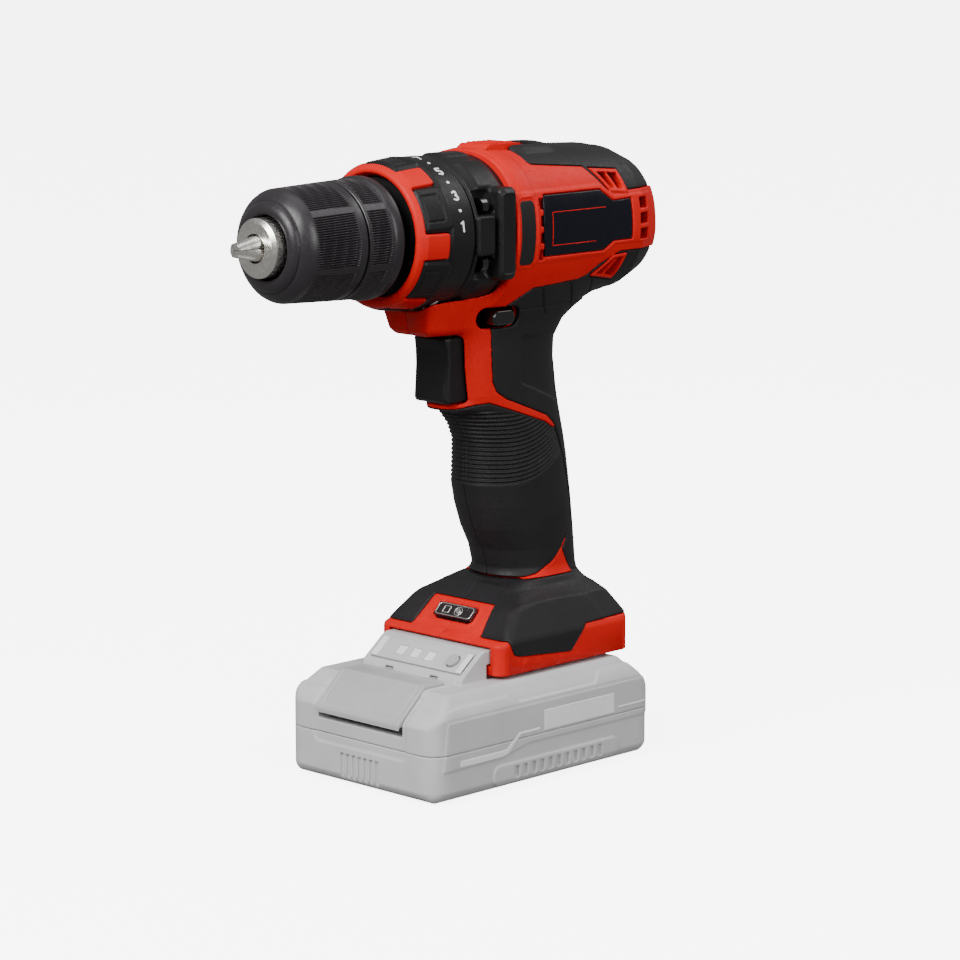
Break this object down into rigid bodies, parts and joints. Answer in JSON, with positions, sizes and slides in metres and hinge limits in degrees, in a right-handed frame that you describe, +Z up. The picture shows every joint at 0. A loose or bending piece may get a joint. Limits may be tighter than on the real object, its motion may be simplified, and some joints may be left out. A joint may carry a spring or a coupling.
{
  "type": "cordless drill driver",
  "caption": "Pistol-grip cordless drill driver with keyless chuck, torque collar, trigger, two-speed gearbox, work light and slide-on battery pack.",
  "frame": {"origin": "centre of the battery pack's flat underside", "axes": "+X forward along the spindle to the chuck, +Y to the left of the user, +Z up; the drill stands on its battery"},
  "size_m": [0.1906, 0.078, 0.2298],
  "materials": {
    "red_plastic": "spark-eroded grain",
    "black_plastic": "fine grain",
    "black_rubber": "soft overmould",
    "gloss_black": "polished",
    "badge": "plain, no lettering",
    "grey_plastic": "light grey",
    "dark_grey": "mid grey",
    "nickel": "satin nickel",
    "steel": "machined",
    "sintered": "sintered steel",
    "zinc": "zinc plated",
    "copper": "copper",
    "brass": "plain",
    "carbon": "pressed carbon",
    "cell_wrap": "shrink film",
    "clear": "clear lens",
    "board": "circuit board",
    "nylon": "glass-filled nylon"
  },
  "bodies": {
    "drill_body": {"gearbox_housing": "black_plastic", "gearbox_screws": "gloss_black", "gearbox_plate": "zinc", "ring_gear_3": "sintered", "front_bearing": "steel", "clutch_washer": "zinc", "clutch_spring": "zinc", "clutch_pins": "steel", "motor_can": "zinc", "motor_end_cap": "black_plastic", "carbon_brushes": "carbon", "left_housing": "red_plastic", "right_housing": "red_plastic", "left_overmould": "black_rubber", "right_overmould": "black_rubber", "side_badges": "badge", "housing_screws": "zinc", "switch_module": "black_plastic", "led_lens": "clear", "led_board": "board", "terminal_block": "black_plastic"},
    "rotor": {"rotor_shaft": "steel", "rotor_core": "copper", "commutator": "copper", "motor_pinion": "sintered"},
    "first_carrier": {"carrier_1": "sintered"},
    "second_carrier": {"carrier_2": "sintered"},
    "spindle_and_chuck": {"spindle": "steel", "chuck_body": "nickel", "chuck_screw": "steel", "chuck_rear_sleeve": "black_plastic"},
    "front_sleeve": {"chuck_sleeve": "black_plastic", "chuck_nut": "steel"},
    "jaw_a": {"jaw_1": "nickel"},
    "jaw_b": {"jaw_2": "nickel"},
    "jaw_c": {"jaw_3": "nickel"},
    "torque_ring": {"torque_collar": "black_plastic", "collar_insert": "red_plastic"},
    "torque_nut_body": {"torque_nut": "nylon"},
    "gear_slider": {"gear_selector": "black_plastic", "shift_wire": "zinc", "ring_gear_2": "sintered"},
    "trigger_body": {"trigger": "black_plastic"},
    "direction_body": {"direction_lever": "gloss_black"},
    "battery": {"battery_lower_case": "grey_plastic", "battery_upper_case": "grey_plastic", "battery_cells": "cell_wrap", "battery_terminals": "brass", "gauge_panel": "grey_plastic"},
    "release_body": {"battery_release_button": "dark_grey"},
    "gauge_key": {"gauge_button": "dark_grey"},
    "planet_1a_body": {"planet_1a": "sintered"},
    "planet_1b_body": {"planet_1b": "sintered"},
    "planet_1c_body": {"planet_1c": "sintered"},
    "planet_2a_body": {"planet_2a": "sintered"},
    "planet_2b_body": {"planet_2b": "sintered"},
    "planet_2c_body": {"planet_2c": "sintered"},
    "planet_3a_body": {"planet_3a": "sintered"},
    "planet_3b_body": {"planet_3b": "sintered"},
    "planet_3c_body": {"planet_3c": "sintered"}
  },
  "joints": [
    {"name": "motor_spin", "type": "hinge", "parent": "drill_body", "child": "rotor", "pos_m": [0, 0, 0.1995], "axis": [1, 0, 0], "continuous": true},
    {"name": "first_carrier_spin", "type": "hinge", "parent": "drill_body", "child": "first_carrier", "pos_m": [0, 0, 0.1995], "axis": [1, 0, 0], "continuous": true},
    {"name": "second_carrier_spin", "type": "hinge", "parent": "drill_body", "child": "second_carrier", "pos_m": [0, 0, 0.1995], "axis": [1, 0, 0], "continuous": true},
    {"name": "spindle_spin", "type": "hinge", "parent": "drill_body", "child": "spindle_and_chuck", "pos_m": [0, 0, 0.1995], "axis": [1, 0, 0], "continuous": true},
    {"name": "planet_1a_spin", "type": "hinge", "parent": "first_carrier", "child": "planet_1a_body", "pos_m": [0, 0.01125, 0.1995], "axis": [1, 0, 0], "continuous": true},
    {"name": "planet_1b_spin", "type": "hinge", "parent": "first_carrier", "child": "planet_1b_body", "pos_m": [0, -0.00562, 0.20924], "axis": [1, 0, 0], "continuous": true},
    {"name": "planet_1c_spin", "type": "hinge", "parent": "first_carrier", "child": "planet_1c_body", "pos_m": [0, -0.00562, 0.18976], "axis": [1, 0, 0], "continuous": true},
    {"name": "planet_2a_spin", "type": "hinge", "parent": "second_carrier", "child": "planet_2a_body", "pos_m": [0, 0.01125, 0.1995], "axis": [1, 0, 0], "continuous": true},
    {"name": "planet_2b_spin", "type": "hinge", "parent": "second_carrier", "child": "planet_2b_body", "pos_m": [0, -0.00562, 0.20924], "axis": [1, 0, 0], "continuous": true},
    {"name": "planet_2c_spin", "type": "hinge", "parent": "second_carrier", "child": "planet_2c_body", "pos_m": [0, -0.00562, 0.18976], "axis": [1, 0, 0], "continuous": true},
    {"name": "planet_3a_spin", "type": "hinge", "parent": "spindle_and_chuck", "child": "planet_3a_body", "pos_m": [0, 0.012, 0.1995], "axis": [1, 0, 0], "continuous": true},
    {"name": "planet_3b_spin", "type": "hinge", "parent": "spindle_and_chuck", "child": "planet_3b_body", "pos_m": [0, -0.006, 0.20989], "axis": [1, 0, 0], "continuous": true},
    {"name": "planet_3c_spin", "type": "hinge", "parent": "spindle_and_chuck", "child": "planet_3c_body", "pos_m": [0, -0.006, 0.18911], "axis": [1, 0, 0], "continuous": true},
    {"name": "chuck_sleeve_turn", "type": "hinge", "parent": "spindle_and_chuck", "child": "front_sleeve", "pos_m": [0, 0, 0.1995], "axis": [1, 0, 0], "range_deg": [0, 2880]},
    {"name": "jaw_1_slide", "type": "slide", "parent": "spindle_and_chuck", "child": "jaw_a", "axis": [-0.9659, 0.1094, 0.2346], "range_m": [0, 0.01925]},
    {"name": "jaw_2_slide", "type": "slide", "parent": "spindle_and_chuck", "child": "jaw_b", "axis": [-0.9659, -0.2578, -0.0226], "range_m": [0, 0.01925]},
    {"name": "jaw_3_slide", "type": "slide", "parent": "spindle_and_chuck", "child": "jaw_c", "axis": [-0.9659, 0.1485, -0.212], "range_m": [0, 0.01925]},
    {"name": "torque_ring_turn", "type": "hinge", "parent": "drill_body", "child": "torque_ring", "pos_m": [0, 0, 0.1995], "axis": [1, 0, 0], "range_deg": [0, 288]},
    {"name": "torque_nut_travel", "type": "slide", "parent": "torque_ring", "child": "torque_nut_body", "axis": [-1, 0, 0], "range_m": [0, 0.0057], "deforming": ["clutch_spring"]},
    {"name": "gear_select", "type": "slide", "parent": "drill_body", "child": "gear_slider", "axis": [-1, 0, 0], "range_m": [0, 0.005]},
    {"name": "trigger_pull", "type": "slide", "parent": "drill_body", "child": "trigger_body", "axis": [-1, 0, 0], "range_m": [0, 0.006], "stiffness_N_per_m": 500},
    {"name": "direction_turn", "type": "hinge", "parent": "drill_body", "child": "direction_body", "pos_m": [0.0025, 0, 0.168], "axis": [0, 0, -1], "range_deg": [-8, 8]},
    {"name": "battery_slide", "type": "slide", "parent": "drill_body", "child": "battery", "axis": [1, 0, 0], "range_m": [0, 0.072]},
    {"name": "battery_release", "type": "slide", "parent": "battery", "child": "release_body", "axis": [0, 0, -1], "range_m": [0, 0.0032], "stiffness_N_per_m": 800},
    {"name": "gauge_press", "type": "slide", "parent": "battery", "child": "gauge_key", "axis": [-0.6203, 0, -0.7844], "range_m": [0, 0.0008], "stiffness_N_per_m": 400}
  ],
  "couplings": [
    {"joint": "first_carrier_spin", "follows": "motor_spin", "ratio": 0.25},
    {"joint": "second_carrier_spin", "follows": "motor_spin", "ratio": 0.0625},
    {"joint": "spindle_spin", "follows": "motor_spin", "ratio": 0.01875},
    {"joint": "planet_1a_spin", "follows": "motor_spin", "ratio": -0.75},
    {"joint": "planet_1b_spin", "follows": "motor_spin", "ratio": -0.75},
    {"joint": "planet_1c_spin", "follows": "motor_spin", "ratio": -0.75},
    {"joint": "planet_2a_spin", "follows": "motor_spin", "ratio": -0.1875},
    {"joint": "planet_2b_spin", "follows": "motor_spin", "ratio": -0.1875},
    {"joint": "planet_2c_spin", "follows": "motor_spin", "ratio": -0.1875},
    {"joint": "planet_3a_spin", "follows": "motor_spin", "ratio": -0.065625},
    {"joint": "planet_3b_spin", "follows": "motor_spin", "ratio": -0.065625},
    {"joint": "planet_3c_spin", "follows": "motor_spin", "ratio": -0.065625},
    {"joint": "jaw_1_slide", "follows": "chuck_sleeve_turn", "m_per_rad": 0.00038197},
    {"joint": "jaw_2_slide", "follows": "chuck_sleeve_turn", "m_per_rad": 0.00038197},
    {"joint": "jaw_3_slide", "follows": "chuck_sleeve_turn", "m_per_rad": 0.00038197},
    {"joint": "torque_nut_travel", "follows": "torque_ring_turn", "m_per_rad": 0.0011141}
  ]
}
